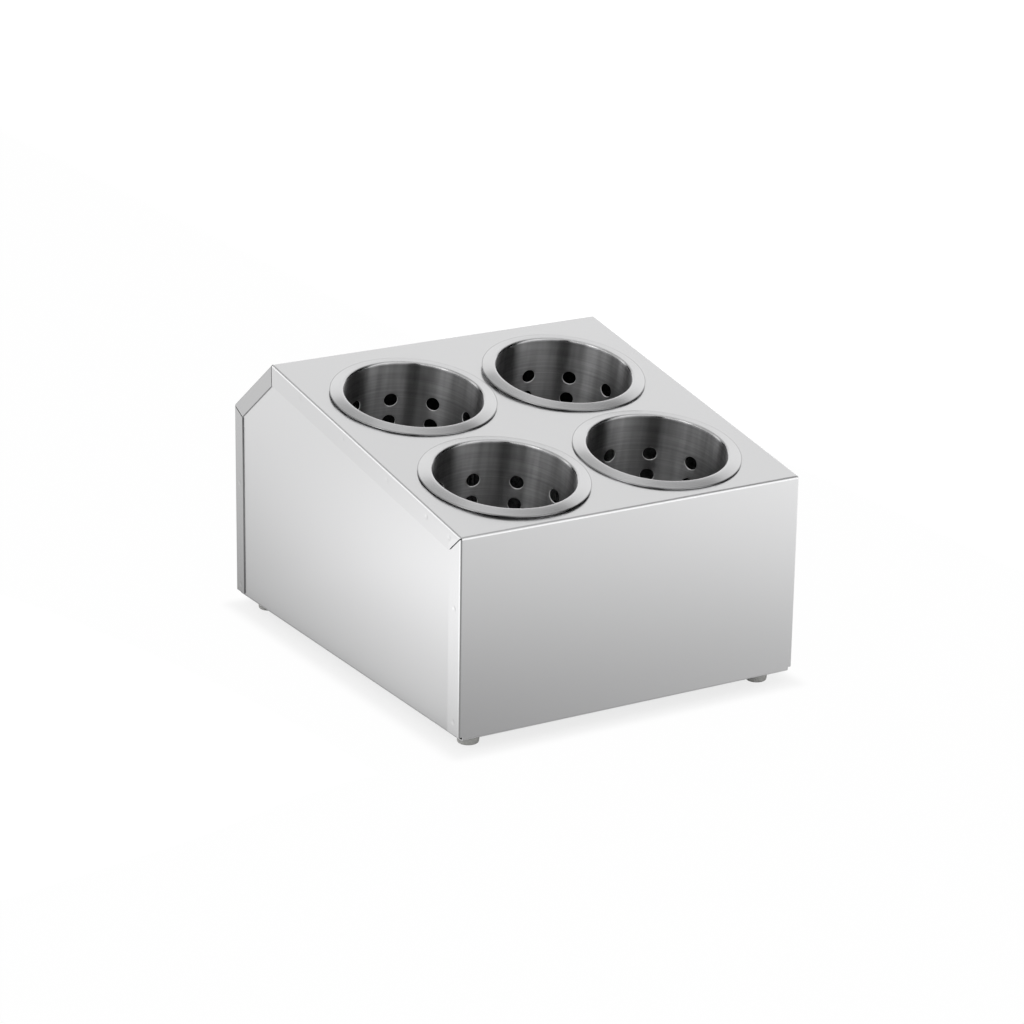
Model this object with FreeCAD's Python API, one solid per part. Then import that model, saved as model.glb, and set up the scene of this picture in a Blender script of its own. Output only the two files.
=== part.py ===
"""Countertop cutlery holder: a folded sheet-steel housing with four lift-out perforated cylinders.

Millimetres. X runs across the width, Y from the front to the back, +Z up.
The origin is on the ground, under the middle of the housing.
"""
import FreeCAD, Part
import math
import os

from FreeCAD import Vector

# Cylinders: rolled perforated sheet with a flared rim and a pressed base
CYLINDER_BORE = 94.4
CYLINDER_SHEET = 0.7
CYLINDER_DEPTH = 133.0        # from the sloped top's surface to the lower edge of the wall
RIM_DIAMETER = 114.0
RIM_FALL = 12.0               # degrees that the flared rim falls towards its edge
LIP_RADIUS = 2.0              # rounding of the mouth, on the visible side
RIM_GAP = 0.3                 # between the rim's edge and the sloped top
HOLE_CLEARANCE = 2.5          # round the cylinder where it passes through the sloped top

# Drain holes in the cylinder walls and bases
DRAIN_HOLE = 9.4
DRAIN_COLUMNS = 10
DRAIN_FIRST_ROW = 26.5        # below the sloped top's surface
DRAIN_PITCH = 16.5
DRAIN_EDGE = 8.7              # sheet between the outer holes and the edge of their face
DRAIN_RINGS = 2               # in a base, round its middle hole
BASE_FLANGE = 6.0             # height of the base's turned-down edge
BASE_BEND = 2.0
BASE_FIT = 0.1                # round the base inside the wall

# Layout of the sloped top
SLOPE_ANGLE = 10.08
FRONT_MARGIN = 7.2            # from the front edge to the first rims, along the slope
ROW_GAP = 7.6                 # between the rims of the two rows, along the slope
REAR_MARGIN = 19.2            # from the last rims to the apex
COLUMN_GAP = 3.6              # between the rims of a row
SIDE_MARGIN = 14.2            # from the rims to the sides

# Housing sheet
SHEET = 0.8
BEND_RADIUS = 2.0             # outside, at the bends that run across the width
FOLD_RADIUS = 1.6             # outside, at the folds along the sides
CHAMFER_RUN = 57.0
CHAMFER_DROP = 43.8
GROUND_CLEARANCE = 10.21      # from the housing's lower edge up to the front cylinders
FLANGE = 14.6                 # side flanges of the front and the sloped top
REAR_FLANGE = 12.0            # side flanges of the chamfer and the back
MITRE_GAP = 0.8
CORNER_RELIEF = 3.0
PANEL_EDGE_GAP = 0.2          # between a side panel's edge and the inside of the fold
SIDE_RETURN_SETBACK = 7.0     # from a side panel's ends to its bottom return

# Feet and their fasteners
FOOT_HEIGHT = 9.0
FOOT_DIAMETER = 16.0
FOOT_TIP_DIAMETER = 14.0
FOOT_EDGE_RADIUS = 1.2
FOOT_INSET = 17.0             # from the housing's outer faces to a foot's axis
FOOT_MARGIN = 4.5             # of the bottom return beyond the foot
SCREW_DIAMETER = 4.0
SCREW_CLEARANCE = 0.25
SCREW_END = 1.0               # of the screw beyond the nut
HEAD_DIAMETER = 8.0
HEAD_HEIGHT = 2.4
HEAD_EDGE_RADIUS = 0.8
HEAD_RECESS = 1.3             # from the ground to the screw head
DRIVE_LENGTH = 4.6
DRIVE_WIDTH = 1.0
DRIVE_DEPTH = 1.1
WASHER_DIAMETER = 9.0
WASHER_THICKNESS = 0.8
WASHER_CLEARANCE = 0.3
NUT_WIDTH = 7.0
NUT_HEIGHT = 3.2
NUT_MARGIN = 1.5              # of the side return beyond the nut
THREAD_GAP = 0.1

# Column and row of each cylinder, and how it lies in its hole: its shift across and up the slope as shares
# of the hole's clearance, and its turn about its own axis and its lean to the back in degrees
CYLINDERS = {
    "front_left": (-1, 0, -0.76, -0.16, 10.5, 0.4),
    "front_right": (1, 0, -0.4, 0.04, 23.4, 0.0),
    "rear_left": (-1, 1, -0.88, 0.0, 5.4, -0.7),
    "rear_right": (1, 1, -0.64, -0.56, 14.1, -1.4),
}
FEET = {
    "front_left": (-1, -1),
    "front_right": (1, -1),
    "rear_left": (-1, 1),
    "rear_right": (1, 1),
}
CUT = 5.0                     # how far a cutting shape reaches past what it cuts

# Sizes that follow
SLOPE_SIN = math.sin(math.radians(SLOPE_ANGLE))
SLOPE_COS = math.cos(math.radians(SLOPE_ANGLE))
BORE_RADIUS = CYLINDER_BORE / 2
WALL_RADIUS = BORE_RADIUS + CYLINDER_SHEET
HOLE_RADIUS = WALL_RADIUS + HOLE_CLEARANCE
ROW_PITCH = RIM_DIAMETER + ROW_GAP
COLUMN_PITCH = RIM_DIAMETER + COLUMN_GAP
FIRST_ROW = FRONT_MARGIN + RIM_DIAMETER / 2
SLOPE_LENGTH = FIRST_ROW + ROW_PITCH + RIM_DIAMETER / 2 + REAR_MARGIN
WIDTH = COLUMN_PITCH + RIM_DIAMETER + 2 * SIDE_MARGIN
DEPTH = SLOPE_LENGTH * SLOPE_COS + CHAMFER_RUN
FRONT_HEIGHT = (GROUND_CLEARANCE + CYLINDER_DEPTH * SLOPE_COS + WALL_RADIUS * SLOPE_SIN
                - FIRST_ROW * SLOPE_SIN)
APEX_HEIGHT = FRONT_HEIGHT + SLOPE_LENGTH * SLOPE_SIN
BACK_HEIGHT = APEX_HEIGHT - CHAMFER_DROP
FRONT = -DEPTH / 2
BACK = DEPTH / 2
SIDE = WIDTH / 2
FLOOR = FOOT_HEIGHT           # the housing's lower edge
RETURN_WIDTH = FOOT_INSET + FOOT_DIAMETER / 2 + FOOT_MARGIN
SIDE_RETURN_WIDTH = FOOT_INSET + NUT_WIDTH / 2 + NUT_MARGIN
RETURN_TOP = FLOOR + 2 * SHEET

# Side view of the housing as (y, z), clockwise from the front's lower edge
OUTLINE = [
    (FRONT, FLOOR),
    (FRONT, FLOOR + FRONT_HEIGHT),
    (FRONT + SLOPE_LENGTH * SLOPE_COS, FLOOR + APEX_HEIGHT),
    (BACK, FLOOR + BACK_HEIGHT),
    (BACK, FLOOR),
]


def inset(points, distances):
    """Move each edge of an outline inwards by its own distance."""
    lines = []
    for index, (y, z) in enumerate(points):
        next_y, next_z = points[(index + 1) % len(points)]
        length = math.hypot(next_y - y, next_z - z)
        along = ((next_y - y) / length, (next_z - z) / length)
        shift = distances[index]
        lines.append(((y + along[1] * shift, z - along[0] * shift), along))
    moved = []
    for index, (start, along) in enumerate(lines):
        before, before_along = lines[index - 1]
        cross = before_along[0] * along[1] - before_along[1] * along[0]
        gap = (start[0] - before[0], start[1] - before[1])
        reach = (gap[0] * along[1] - gap[1] * along[0]) / cross
        moved.append((before[0] + before_along[0] * reach, before[1] + before_along[1] * reach))
    return moved


def rounded_face(points, radii):
    """Face bounded by straight lines, with an arc at each corner that has a radius."""
    corners = []
    for index, corner in enumerate(points):
        radius = radii[index]
        if radius == 0:
            corners.append((corner, None, corner))
            continue
        to_before = (points[index - 1] - corner).normalize()
        to_after = (points[(index + 1) % len(points)] - corner).normalize()
        half = to_before.getAngle(to_after) / 2
        middle = (to_before + to_after).normalize()
        crown = corner + middle * (radius / math.sin(half) - radius)
        tangent = radius / math.tan(half)
        corners.append((corner + to_before * tangent, crown, corner + to_after * tangent))
    edges = []
    for index, (start, crown, end) in enumerate(corners):
        if crown is not None:
            edges.append(Part.Arc(start, crown, end).toShape())
        edges.append(Part.LineSegment(end, corners[(index + 1) % len(corners)][0]).toShape())
    return Part.Face(Part.Wire(edges))


def across(points, x_from, x_to, radius=0.0):
    """Solid with a side-view outline, run across the width."""
    face = rounded_face([Vector(x_from, y, z) for y, z in points], [radius] * len(points))
    return face.extrude(Vector(x_to - x_from, 0, 0))


def box(x_from, x_to, y_from, y_to, z_from, z_to):
    return Part.makeBox(x_to - x_from, y_to - y_from, z_to - z_from, Vector(x_from, y_from, z_from))


def turned(points, radii):
    """Solid of revolution about Z from an outline of (radius, height) points."""
    face = rounded_face([Vector(r, 0, z) for r, z in points], radii)
    return face.revolve(Vector(0, 0, 0), Vector(0, 0, 1), 360)


def both_sides(shape):
    return [shape, shape.mirror(Vector(0, 0, 0), Vector(1, 0, 0))]


def folded_block(gap, side, bend, fold):
    """Solid housing body, set in by a gap, with rounded bends and side folds."""
    block = across(inset(OUTLINE, [gap] * len(OUTLINE)), -side, side, bend)
    ends = [edge for edge in block.Edges if edge.BoundBox.XLength < fold / 2]
    return block.makeFillet(fold, ends)


def cylinder_seat(column, row, shift_across=0.0, shift_up=0.0, lean=0.0):
    """Placement on the sloped top: local Z stands square to the slope, local Y runs up it.

    A cylinder that leans rests on the one edge of its rim.
    """
    across = column * COLUMN_PITCH / 2 + shift_across * HOLE_CLEARANCE
    along = FIRST_ROW + row * ROW_PITCH + shift_up * HOLE_CLEARANCE
    lift = RIM_DIAMETER / 2 * math.sin(math.radians(abs(lean)))
    seat = Vector(across, FRONT + along * SLOPE_COS - lift * SLOPE_SIN,
                  FLOOR + FRONT_HEIGHT + along * SLOPE_SIN + lift * SLOPE_COS)
    return FreeCAD.Placement(seat, FreeCAD.Rotation(Vector(1, 0, 0), SLOPE_ANGLE - lean))


def foot_place(column, row):
    return FreeCAD.Placement(Vector(column * (SIDE - FOOT_INSET), row * (BACK - FOOT_INSET), 0),
                             FreeCAD.Rotation())


def placed(shape, placement, turn=0.0):
    copy = shape.copy()
    copy.rotate(Vector(0, 0, 0), Vector(0, 0, 1), turn)
    return copy.transformed(placement.toMatrix(), True)


def screw_holes():
    drill = Part.makeCylinder(SCREW_DIAMETER / 2 + SCREW_CLEARANCE, RETURN_TOP + CUT)
    return [placed(drill, foot_place(*corner)) for corner in FEET.values()]


def side_window():
    """Side-view outline inside the side flanges, open below the lower edge."""
    return inset(OUTLINE, [FLANGE, FLANGE, REAR_FLANGE, REAR_FLANGE, -CUT])


def mitre_slit(corner, window_corner):
    """Narrow cut through the right-hand flanges from a bend to their inner edges."""
    along = Vector(0, window_corner[0] - corner[0], window_corner[1] - corner[1])
    along.normalize()
    square = Vector(0, -along.z, along.y) * (MITRE_GAP / 2)
    inner_fold = SIDE - FOLD_RADIUS
    start = Vector(inner_fold, *corner) - along * CUT
    end = Vector(inner_fold, *window_corner) + along * CUT
    slit = Part.Face(Part.makePolygon([start + square, end + square, end - square, start - square,
                                       start + square]))
    return slit.extrude(Vector(FOLD_RADIUS + CUT, 0, 0))


def wrapper_panel():
    """Front, sloped top, chamfer and back from one sheet, with side flanges and bottom returns."""
    skin = folded_block(0.0, SIDE, BEND_RADIUS, FOLD_RADIUS)
    hollow = folded_block(SHEET, SIDE - SHEET, BEND_RADIUS - SHEET, FOLD_RADIUS - SHEET)
    window = side_window()
    cuts = [hollow]
    cuts += both_sides(across(window, SIDE - FOLD_RADIUS, SIDE + CUT))
    for index in (1, 2, 3):
        cuts += both_sides(mitre_slit(OUTLINE[index], window[index]))
    cuts.append(box(-SIDE - CUT, SIDE + CUT, FRONT + RETURN_WIDTH, BACK - RETURN_WIDTH,
                    FLOOR - CUT, FLOOR + SHEET))
    for y_from in (FRONT - CUT, BACK - RETURN_WIDTH):
        relief = box(SIDE - CORNER_RELIEF, SIDE + CUT, y_from, y_from + RETURN_WIDTH + CUT,
                     FLOOR - CUT, FLOOR + CORNER_RELIEF)
        cuts += both_sides(relief)
    mouth = Part.makeCylinder(HOLE_RADIUS, 2 * CUT, Vector(0, 0, -CUT))
    for column, row, *lie in CYLINDERS.values():
        cuts.append(placed(mouth, cylinder_seat(column, row)))
    cuts += screw_holes()
    return skin.cut(cuts)


def right_side_panel():
    """Flat sheet inside the side flanges, with a return at the bottom that rests on the wrapper's."""
    outer = SIDE - SHEET
    bottom = FLOOR + SHEET
    top = FLOOR + APEX_HEIGHT
    inner_return = SIDE - SIDE_RETURN_WIDTH
    section = [(outer, top), (outer, bottom), (inner_return, bottom), (inner_return, RETURN_TOP),
               (outer - SHEET, RETURN_TOP), (outer - SHEET, top)]
    corner_radii = [0, BEND_RADIUS, 0, 0, BEND_RADIUS - SHEET, 0]
    face = rounded_face([Vector(x, FRONT, z) for x, z in section], corner_radii)
    folded = face.extrude(Vector(0, DEPTH, 0))
    edge = FOLD_RADIUS + PANEL_EDGE_GAP
    outline = inset(OUTLINE, [edge, edge, edge, edge, 0])
    panel = folded.common(across(outline, inner_return - CUT, SIDE))
    notches = []
    for y_from in (FRONT - CUT, BACK - SIDE_RETURN_SETBACK):
        notches.append(box(inner_return - CUT, SIDE + CUT, y_from, y_from + SIDE_RETURN_SETBACK + CUT,
                           FLOOR, bottom + BEND_RADIUS))
    return panel.cut(notches + screw_holes())


def cylinder_wall():
    """Rolled wall with a flared rim, standing on the sloped top at height 0, with its drain holes."""
    fall = math.radians(RIM_FALL)
    rim = RIM_DIAMETER / 2
    edge_top = RIM_GAP + CYLINDER_SHEET * math.cos(fall)
    mouth_top = edge_top + (rim - BORE_RADIUS) * math.tan(fall)
    under = CYLINDER_SHEET / math.cos(fall)
    wall_top = mouth_top - CYLINDER_SHEET * math.tan(fall) - under
    edge_under = (rim - CYLINDER_SHEET * math.sin(fall), RIM_GAP)
    outline = [(BORE_RADIUS, -CYLINDER_DEPTH), (BORE_RADIUS, mouth_top), (rim, edge_top), edge_under,
               (WALL_RADIUS, wall_top), (WALL_RADIUS, -CYLINDER_DEPTH)]
    wall = turned(outline, [0, LIP_RADIUS, 0, 0, LIP_RADIUS - CYLINDER_SHEET, 0])
    last_row = CYLINDER_DEPTH - BASE_FLANGE - DRAIN_EDGE - DRAIN_HOLE / 2
    rows = int((last_row - DRAIN_FIRST_ROW) / DRAIN_PITCH) + 1
    drains = []
    for column in range(DRAIN_COLUMNS):
        angle = 2 * math.pi * column / DRAIN_COLUMNS
        out = Vector(math.cos(angle), math.sin(angle), 0)
        for row in range(rows):
            depth = Vector(0, 0, -DRAIN_FIRST_ROW - row * DRAIN_PITCH)
            drains.append(Part.makeCylinder(DRAIN_HOLE / 2, 2 * CUT, out * (BORE_RADIUS - CUT) + depth, out))
    return wall.cut(drains)


def cylinder_base():
    """Pressed base with a turned-down edge inside the wall's foot, with rings of drain holes."""
    radius = BORE_RADIUS - BASE_FIT
    low = -CYLINDER_DEPTH
    top = low + BASE_FLANGE
    outline = [(0, top), (radius, top), (radius, low), (radius - CYLINDER_SHEET, low),
               (radius - CYLINDER_SHEET, top - CYLINDER_SHEET), (0, top - CYLINDER_SHEET)]
    base = turned(outline, [0, BASE_BEND, 0, 0, BASE_BEND - CYLINDER_SHEET, 0])
    spacing = (radius - DRAIN_EDGE - DRAIN_HOLE / 2) / DRAIN_RINGS
    drains = [Part.makeCylinder(DRAIN_HOLE / 2, 2 * CUT, Vector(0, 0, top - CUT))]
    for ring in range(1, DRAIN_RINGS + 1):
        holes = 6 * ring
        for hole in range(holes):
            angle = 2 * math.pi * hole / holes
            centre = Vector(math.cos(angle), math.sin(angle), 0) * (ring * spacing)
            drains.append(Part.makeCylinder(DRAIN_HOLE / 2, 2 * CUT, centre + Vector(0, 0, top - CUT)))
    return base.cut(drains)


def foot():
    """Rubber foot with a recess below for the washer and the screw head."""
    top = FOOT_DIAMETER / 2
    tip = FOOT_TIP_DIAMETER / 2
    recess = WASHER_DIAMETER / 2 + WASHER_CLEARANCE
    bore = SCREW_DIAMETER / 2 + SCREW_CLEARANCE
    ceiling = HEAD_RECESS + HEAD_HEIGHT + WASHER_THICKNESS
    outline = [(recess, 0), (tip, 0), (top, FOOT_HEIGHT), (bore, FOOT_HEIGHT), (bore, ceiling), (recess, ceiling)]
    return turned(outline, [0, FOOT_EDGE_RADIUS, 0, 0, 0, 0])


def screw():
    """Pan-head screw, head down, with a cross recess."""
    head_top = HEAD_RECESS + HEAD_HEIGHT
    end = RETURN_TOP + NUT_HEIGHT + SCREW_END
    head = HEAD_DIAMETER / 2
    shank = SCREW_DIAMETER / 2
    outline = [(0, HEAD_RECESS), (head, HEAD_RECESS), (head, head_top), (shank, head_top), (shank, end), (0, end)]
    body = turned(outline, [0, HEAD_EDGE_RADIUS, 0, 0, 0, 0])
    length = DRIVE_LENGTH / 2
    width = DRIVE_WIDTH / 2
    depth = HEAD_RECESS + DRIVE_DEPTH
    return body.cut([box(-length, length, -width, width, 0, depth), box(-width, width, -length, length, 0, depth)])


def washer():
    seat = HEAD_RECESS + HEAD_HEIGHT
    disc = Part.makeCylinder(WASHER_DIAMETER / 2, WASHER_THICKNESS, Vector(0, 0, seat))
    return disc.cut(Part.makeCylinder(SCREW_DIAMETER / 2 + SCREW_CLEARANCE, seat + CUT))


def nut():
    corner = NUT_WIDTH / math.sqrt(3)
    points = []
    for index in range(7):
        angle = math.pi * index / 3
        points.append(Vector(corner * math.cos(angle), corner * math.sin(angle), RETURN_TOP))
    hexagon = Part.Face(Part.makePolygon(points)).extrude(Vector(0, 0, NUT_HEIGHT))
    return hexagon.cut(Part.makeCylinder(SCREW_DIAMETER / 2 + THREAD_GAP, RETURN_TOP + NUT_HEIGHT + CUT))


def at_feet(shape):
    return Part.makeCompound([placed(shape, foot_place(*corner)) for corner in FEET.values()])


def main():
    right_panel, left_panel = both_sides(right_side_panel())
    nodes = {
        "wrapper_panel": wrapper_panel(),
        "right_side_panel": right_panel,
        "left_side_panel": left_panel,
        "foot_screws": at_feet(screw()),
        "foot_washers": at_feet(washer()),
        "foot_nuts": at_feet(nut()),
    }
    wall = cylinder_wall()
    base = cylinder_base()
    for name, (column, row, shift_across, shift_up, turn, lean) in CYLINDERS.items():
        seat = cylinder_seat(column, row, shift_across, shift_up, lean)
        nodes[name + "_cylinder_wall"] = placed(wall, seat, turn)
        nodes[name + "_cylinder_base"] = placed(base, seat, turn)
    rubber = foot()
    for name, corner in FEET.items():
        nodes[name + "_foot"] = placed(rubber, foot_place(*corner))
    os.makedirs("parts", exist_ok=True)
    for name, shape in nodes.items():
        shape.exportStep(os.path.join("parts", name + ".step"))
        print(name, len(shape.Solids), shape.isValid(), round(shape.Volume, 1))
    print("width", round(WIDTH, 2), "depth", round(DEPTH, 2), "height", round(FLOOR + APEX_HEIGHT, 2))
    print("front", round(FRONT_HEIGHT, 2), "apex", round(APEX_HEIGHT, 2), "back", round(BACK_HEIGHT, 2))


main()
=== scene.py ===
"""Looks for a countertop cutlery holder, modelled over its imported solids.

Metres. X runs across the width, Y from the low front to the high back, Z up from the ground.
"""
import math
from contextlib import contextmanager

import bmesh
import bpy
from bpy.props import FloatProperty, FloatVectorProperty, IntProperty, PointerProperty
from mathutils import Matrix, Vector


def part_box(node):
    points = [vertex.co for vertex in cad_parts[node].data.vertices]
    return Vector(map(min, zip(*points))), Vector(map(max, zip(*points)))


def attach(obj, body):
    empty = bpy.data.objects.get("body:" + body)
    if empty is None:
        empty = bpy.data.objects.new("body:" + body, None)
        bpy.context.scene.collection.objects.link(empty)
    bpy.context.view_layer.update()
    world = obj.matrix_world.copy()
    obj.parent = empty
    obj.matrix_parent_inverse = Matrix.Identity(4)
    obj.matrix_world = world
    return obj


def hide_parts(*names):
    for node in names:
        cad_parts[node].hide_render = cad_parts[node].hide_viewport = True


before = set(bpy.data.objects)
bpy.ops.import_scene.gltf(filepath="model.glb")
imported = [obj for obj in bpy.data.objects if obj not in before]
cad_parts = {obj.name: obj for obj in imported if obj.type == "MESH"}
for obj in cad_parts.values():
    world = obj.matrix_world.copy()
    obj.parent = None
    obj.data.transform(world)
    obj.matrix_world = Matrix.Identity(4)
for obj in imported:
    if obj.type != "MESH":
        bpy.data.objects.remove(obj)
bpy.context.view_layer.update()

bl_info = {
    "name": "Cutlery Holder",
    "version": (1, 0, 0),
    "blender": (4, 5, 0),
    "location": "View3D > Sidebar > Cutlery Holder",
    "description": "Folded sheet-steel cutlery holder with four lift-out perforated cylinders",
    "category": "Add Mesh",
}

PANEL_LOW, PANEL_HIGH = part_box("wrapper_panel")
CUT = 0.005              # how far a cutting shape reaches past what it cuts
TOUCH = 1e-5             # how near a point counts as being at a place
EASED_EDGE = 0.00015     # rounding of the sheared edges of the cylinders' sheet
EASED_FOOT = 0.0003      # rounding of a foot's upper edge
DRILL_TOP = 0.02         # how high the drills of the screw holes reach
NOTCH_WIDTH = 0.06       # of the cuts that part a side return from its panel's ends
SLIT_SHORTFALL = 0.0008  # from a side panel's mitre slits to the bends and the flanges' inner edges
WELD_BALL = 0.01         # radius of the ball that sinks a weld dent
RIM_FALL = 1.2           # power of the rim's fall from its crest to its edge

# Column and row of each cylinder, its shift across and up the slope in its hole, and its turn about its
# own axis and its lean to the back in degrees
CYLINDERS = {
    "front_left": (-1, 0, -0.0019, -0.0004, 10.5, 0.4),
    "front_right": (1, 0, -0.001, 0.0001, 23.4, 0.0),
    "rear_left": (-1, 1, -0.0022, 0.0, 5.4, -0.7),
    "rear_right": (1, 1, -0.0016, -0.0014, 14.1, -1.4),
}
FEET = {
    "front_left": (-1, -1),
    "front_right": (1, -1),
    "rear_left": (-1, 1),
    "rear_right": (1, 1),
}
# Spot-weld dents in the side flanges: how far in from each flange's outer edge, and where along it
SLOPE_WELDS = (0.0065, (0.0136, 0.043, 0.0958, 0.157, 0.219))
BACK_WELDS = (0.007, (0.0087, 0.0845))
FRONT_WELDS = (0.0075, (0.0115, 0.089))
# Lights of the studio and the gaps between them, in mirror rays: heading from +X, half width, bottom and
# top in degrees, and how much brighter or darker they are
STUDIO = (
    (231, 23, -10, 75, -1.0),
    (350, 27, -10, 58, -1.0),
    (32, 14, 46, 60, -0.7),
    (107, 12, -10, 42, -1.0),
    (78, 16, 43, 54, -0.45),
    (184, 16, -5, 60, 0.5),
    (308, 20, -5, 50, 0.35),
    (130, 9, -5, 40, 0.65),
)
STUDIO_BLEND = 6         # degrees over which a light or gap fades at each side
STUDIO_FADE = 0.05       # half the height, on a unit sphere, over which it fades below and above
# Camera fitted to the photo: where it stands, and its own right and up
CAMERA_PLACE = (-1.1803, -1.9507, 0.8811)
CAMERA_RIGHT = (0.857533, -0.514223, 0.014567)
CAMERA_UP = (0.155649, 0.286348, 0.945398)
AIM = (0, 0, 0.09)       # middle of the object, where the lamps point
# Floor near the object and far from it, seen by the camera and in mirrors, with the distance between
FLOOR_SEEN = (0.0, 0.014, 0.78, 0.985)
FLOOR_MIRRORED = (0.0, 0.003, 0.0, 0.95)
# Painted light and shade that the floor glows with in mirrors, graded by place, as limits of a place and the
# levels there
FLOOR_AHEAD = (0.0, 0.42, 0.5, 0.76)
FLOOR_BESIDE = (0.0, 0.22, 0.82, 1.6)
FLOOR_BACKWARDS = (-0.2, 0.5, 1.1, 0.62)
FLOOR_ACROSS = 0.77      # rise of the level ahead of the object, per metre to the right
FLOOR_CORNER = 4.5       # darkening towards the near left corner
FLOOR_LEAST = 0.3        # darkest level


def length(name, description, default):
    return FloatProperty(name=name, description=description, default=default, unit="LENGTH", precision=4)


def angle(name, description, degrees):
    return FloatProperty(name=name, description=description, default=math.radians(degrees), subtype="ANGLE")


def share(name, description, default):
    return FloatProperty(name=name, description=description, default=default, min=0, max=1, subtype="FACTOR")


def power(name, description, default):
    return FloatProperty(name=name, description=description, default=default, unit="POWER")


def colour(name, description, default):
    return FloatVectorProperty(name=name, description=description, default=default, min=0, max=1,
                               subtype="COLOR")


class HousingSizes(bpy.types.PropertyGroup):
    """Sizes of the folded housing."""
    width: length("Width", "Across the housing", PANEL_HIGH.x - PANEL_LOW.x)
    depth: length("Depth", "From the front to the back", PANEL_HIGH.y - PANEL_LOW.y)
    lower_edge: length("Lower Edge", "Height of the housing's lower edge above the ground", PANEL_LOW.z)
    front_height: length("Front Height", "Height of the front panel", 0.138299)
    slope_angle: angle("Slope", "Rise of the sloped top", 10.08)
    slope_length: length("Slope Length", "Length of the sloped top", 0.262)
    chamfer_drop: length("Chamfer Drop", "Fall of the chamfer behind the apex", 0.0438)
    sheet: length("Sheet", "Thickness of the sheet", 0.0008)
    bend_radius: length("Bend Radius", "Outside radius of the bends across the width", 0.002)
    fold_radius: length("Fold Radius", "Outside radius of the folds along the sides", 0.0016)
    flange: length("Flange", "Side flanges of the front and the sloped top", 0.0146)
    rear_flange: length("Rear Flange", "Side flanges of the chamfer and the back", 0.012)
    mitre_gap: length("Mitre Gap", "Slit between neighbouring flanges", 0.0008)
    corner_relief: length("Corner Relief", "Notch at the lower corners", 0.003)
    return_width: length("Bottom Return", "Bottom returns at the front and the back", 0.0295)
    side_return: length("Side Return", "From the outside to the inner edge of a side return", 0.022)
    return_setback: length("Return Setback", "From a side panel's ends to its return", 0.007)
    panel_gap: length("Panel Gap", "Between a side panel's edge and the fold", 0.0002)
    mouth_radius: length("Mouth Radius", "Holes for the cylinders in the sloped top", 0.0504)
    weld_depth: length("Weld Depth", "Depth of a spot-weld dent", 0.00022)


class CylinderSizes(bpy.types.PropertyGroup):
    """Sizes of the lift-out cylinders."""
    bore: length("Bore", "Inside diameter", 0.0944)
    sheet: length("Sheet", "Thickness of the wall", 0.0007)
    depth: length("Depth", "From the sloped top down to the wall's lower edge", 0.133)
    rim: length("Rim", "Diameter over the flared rim", 0.114)
    rim_edge: length("Rim Edge", "Height of the rim's upper edge above the sloped top", 0.00098)
    rim_crest: length("Rim Crest", "Height of the mouth's crest above the sloped top", 0.00242)
    lip_radius: length("Lip Radius", "Rounding of the mouth", 0.002)
    drain_hole: length("Drain Hole", "Diameter of a drain hole", 0.0094)
    punch: length("Punch Draw", "Rounding inside a drain hole's edge", 0.00065)
    first_row: length("First Row", "Depth of the highest row of holes", 0.0265)
    pitch: length("Row Pitch", "Between rows of holes", 0.0165)
    columns: IntProperty(name="Columns", description="Holes round a wall", default=10, min=3)
    rows: IntProperty(name="Rows", description="Rows of holes in a wall", default=6, min=1)
    base_flange: length("Base Edge", "Height of the base's turned-down edge", 0.006)
    base_bend: length("Base Bend", "Rounding of the base's edge", 0.002)
    base_fit: length("Base Fit", "Between the base and the wall", 0.0001)
    base_rings: IntProperty(name="Base Rings", description="Rings of holes in a base", default=2, min=1)
    base_margin: length("Base Margin", "Sheet outside the last ring of holes", 0.0087)
    front_row: length("Front Row", "From the front edge to the front cylinders, along the slope", 0.0642)
    row_step: length("Row Step", "Between the two rows of cylinders", 0.1216)
    column_step: length("Column Step", "Between the two columns of cylinders", 0.1176)


class FootSizes(bpy.types.PropertyGroup):
    """Sizes of the rubber feet."""
    diameter: length("Diameter", "Of the upper end", 0.016)
    tip: length("Tip", "Diameter of the lower end", 0.014)
    height: length("Height", "Of a foot", 0.009)
    edge_radius: length("Edge Radius", "Rounding of the lower edge", 0.0012)
    inset: length("Inset", "From the housing's outer faces to a foot's axis", 0.017)
    recess: length("Recess", "Radius of the recess for the screw head", 0.0048)
    recess_height: length("Recess Height", "Ceiling of that recess", 0.0045)
    screw_hole: length("Screw Hole", "Radius of the screw holes", 0.00225)


class Finishes(bpy.types.PropertyGroup):
    """Colours and gloss, some of them painted shade and a painted highlight."""
    housing: colour("Housing", "Brushed housing sheet", (0.74, 0.74, 0.745))
    housing_roughness: share("Housing Roughness", "Of the brushed housing sheet", 0.26)
    # The cylinder tone is the rim's steel made much darker, as painted shade on the wall, inside and out.
    cylinder: colour("Cylinder", "Brushed inside of a cylinder", (0.37, 0.37, 0.374))
    blotches: share("Blotches", "Change of tone in upright patches of a cylinder", 0.35)
    # Painted highlight: the drain holes' edges are coloured near-white and made non-metal.
    painted_hole_highlight: colour("Hole Edge", "Clean sheet at the edges of the drain holes", (0.92, 0.92, 0.92))
    rim: colour("Rim", "Polished rims", (0.7, 0.7, 0.705))
    streaks: share("Streaks", "Contrast of the housing's brushing", 0.004)
    ring_streaks: share("Ring Streaks", "Contrast of the cylinders' brushing", 0.16)
    cylinder_roughness: share("Cylinder Roughness", "Of the brushed inside of a cylinder", 0.4)
    rim_roughness: share("Rim Roughness", "Of the polished rims", 0.2)
    rubber: colour("Rubber", "Pale rubber of the feet", (0.56, 0.56, 0.54))
    fastener: colour("Fastener", "Plain bright fastener steel", (0.62, 0.62, 0.62))


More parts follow.
